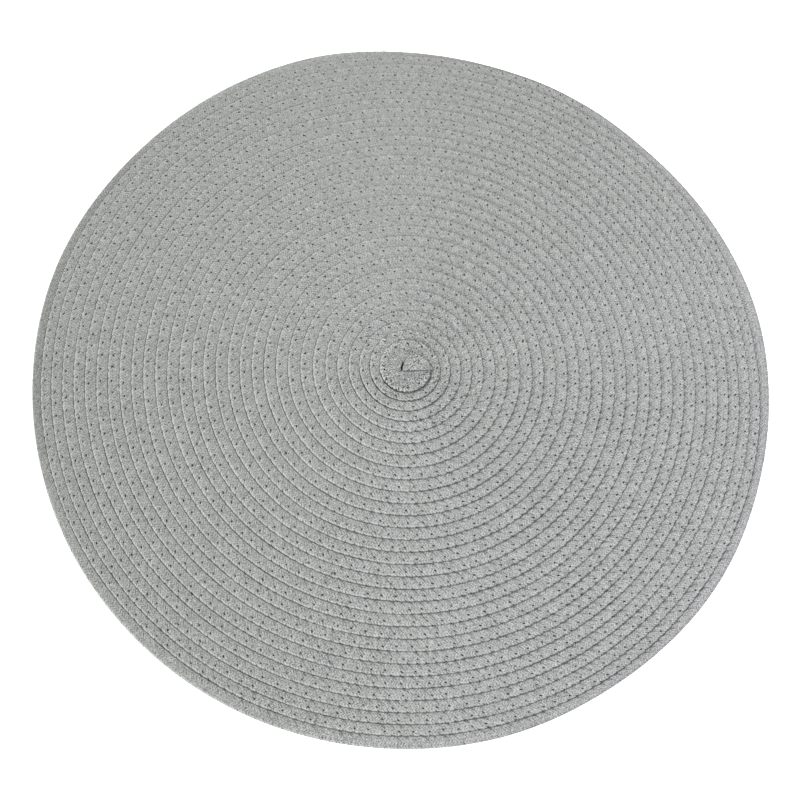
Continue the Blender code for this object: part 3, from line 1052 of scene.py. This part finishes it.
def yarn_material():
    """Matte grey yarn, plaited two over two under, with a needle hole every stitch, and with light
    and shade painted into its colour.
    """
    material, tree, shader = new_material("grey_plaited_yarn", YARN_FINISH)
    plait = plait_places(tree)
    weave = weave_of(plait)
    marks = marks_of(plait)
    sides, north = side_shares(tree)
    slit, fold_edge = fold_marks(plait)
    tone = plain_tone(plait, weave, marks, sides, north)
    tone = tone * painted_light_by_side(plait, sides) * painted_shade_by_side(plait, marks, sides)
    # Painted shade along the fold's lower edge, in the slit and in the needle holes
    tone = tone * dull_place(plait.along) * without(fold_edge, FOLD_EDGE_SHADE)
    tone = tone * without(slit, SLIT_SHADE) * without(marks.hole, HOLE_SHADE)

    mix = tree.nodes.new("ShaderNodeMix")
    mix.data_type = "RGBA"
    colours = [socket for socket in mix.inputs if socket.type == "RGBA"]
    colours[0].default_value = DARK_GREY
    colours[1].default_value = LIGHT_GREY
    tree.links.new(tone.greater(0.0).socket, mix.inputs[0])
    result = next(socket for socket in mix.outputs if socket.type == "RGBA")
    tree.links.new(result, shader.inputs["Base Color"])

    height = weave.height * WEAVE_BUMP + weave.fibres * FIBRE_BUMP + weave.fuzz * FUZZ_BUMP
    height = height - marks.hole * HOLE_BUMP - marks.groove * GROOVE_BUMP
    add_bump(tree, shader, height.socket, MM)
    return material


# ---- The thread's look ----
TWISTS = 2500.0  # in a metre
TWIST_DEPTH = 0.05 * MM
THREAD_TONES = ((0.3, (0.30, 0.305, 0.30, 1.0)), (0.7, (0.62, 0.63, 0.62, 1.0)))
THREAD_FINISH = {"Roughness": 0.8}


def thread_material():
    """Matte grey sewing thread, a little lighter than the yarn, with a fine uneven twist."""
    material, tree, shader = new_material("grey_sewing_thread", THREAD_FINISH)
    place = tree.nodes.new("ShaderNodeTexCoord")
    twist = tree.nodes.new("ShaderNodeTexNoise")
    twist.inputs["Scale"].default_value = TWISTS
    twist.inputs["Detail"].default_value = 2.0
    tree.links.new(place.outputs["Object"], twist.inputs["Vector"])
    tone = tree.nodes.new("ShaderNodeValToRGB")
    for element, (position, colour) in zip(tone.color_ramp.elements, THREAD_TONES):
        element.position = position
        element.color = colour
    tree.links.new(twist.outputs[0], tone.inputs[0])
    tree.links.new(tone.outputs[0], shader.inputs["Base Color"])
    add_bump(tree, shader, twist.outputs[0], TWIST_DEPTH)
    return material


# ---- Camera: fitted to the outline in an 800 x 800 picture ----
CAMERA_AT = (-0.0374, -0.2443, 0.6392)
CAMERA_FORWARD = (0.05056, 0.33426, -0.94112)
CAMERA_RIGHT = (0.99856, 0.0, 0.05365)
FOCAL_PIXELS, PICTURE_PIXELS, SENSOR_MM = 1325.66, 800, 36.0


def add_camera():
    data = bpy.data.cameras.new("camera")
    data.sensor_width = SENSOR_MM
    data.lens = SENSOR_MM * FOCAL_PIXELS / PICTURE_PIXELS
    camera = bpy.data.objects.new("camera", data)
    bpy.context.scene.collection.objects.link(camera)
    back = -Vector(CAMERA_FORWARD).normalized()
    right = Vector(CAMERA_RIGHT).normalized()
    up = back.cross(right)
    turned = Matrix((right, up, back)).transposed()
    camera.matrix_world = Matrix.Translation(CAMERA_AT) @ turned.to_4x4()
    bpy.context.scene.camera = camera


# ---- Floor and light ----
FLOOR_SIZE = 4.0
FLOOR_FINISH = {
    "Base Color": (0.9, 0.9, 0.9, 1.0),
    "Roughness": 0.8,
    "Emission Color": (1.0, 1.0, 1.0, 1.0),
    "Emission Strength": 0.6,
}
WORLD_STRENGTH = 0.48

# Azimuths are anticlockwise from +X
Light = namedtuple("Light", "name azimuth elevation distance size energy colour")
LIGHTS = (
    Light("key", 170.0, 38.0, 12.0, 3.8, 970.0, (0.955, 1.0, 0.865)),
    Light("fill", -22.0, 50.0, 0.7, 0.5, 2.15, (1.06, 1.0, 1.18)),
)


def add_floor():
    bpy.ops.mesh.primitive_plane_add(size=FLOOR_SIZE, location=(0, 0, 0))
    floor = bpy.context.object
    floor.name = "floor"
    material, _, _ = new_material("pale_floor", FLOOR_FINISH)
    floor.data.materials.append(material)


def add_light(light):
    data = bpy.data.lights.new(light.name, "AREA")
    data.shape = "DISK"
    data.size = light.size
    data.energy = light.energy
    data.color = light.colour
    lamp = bpy.data.objects.new(light.name, data)
    bpy.context.scene.collection.objects.link(lamp)
    a, e = math.radians(light.azimuth), math.radians(light.elevation)
    towards = Vector((math.cos(a) * math.cos(e), math.sin(a) * math.cos(e), math.sin(e)))
    lamp.location = towards * light.distance
    lamp.rotation_euler = towards.to_track_quat("Z", "Y").to_euler()


def add_world():
    world = bpy.data.worlds.new("studio")
    world.use_nodes = True
    background = world.node_tree.nodes["Background"]
    background.inputs["Color"].default_value = (1.0, 1.0, 1.0, 1.0)
    background.inputs["Strength"].default_value = WORLD_STRENGTH
    bpy.context.scene.world = world


def main():
    yarn = yarn_material()
    thread_yarn = thread_material()
    cuts = np.linspace(0, LAST_LINE, STRETCHES + 1).round().astype(int)
    for number, (first, last) in enumerate(zip(cuts, cuts[1:]), start=1):
        band = build_stretch(number, first, last, yarn)
        thread = build_thread(number, first, last, thread_yarn)
        for piece in (band, thread):
            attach(piece, "root")
        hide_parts("wound_braid")
    add_floor()
    add_camera()
    add_world()
    for light in LIGHTS:
        add_light(light)
    bpy.context.scene.view_settings.view_transform = "Standard"


main()
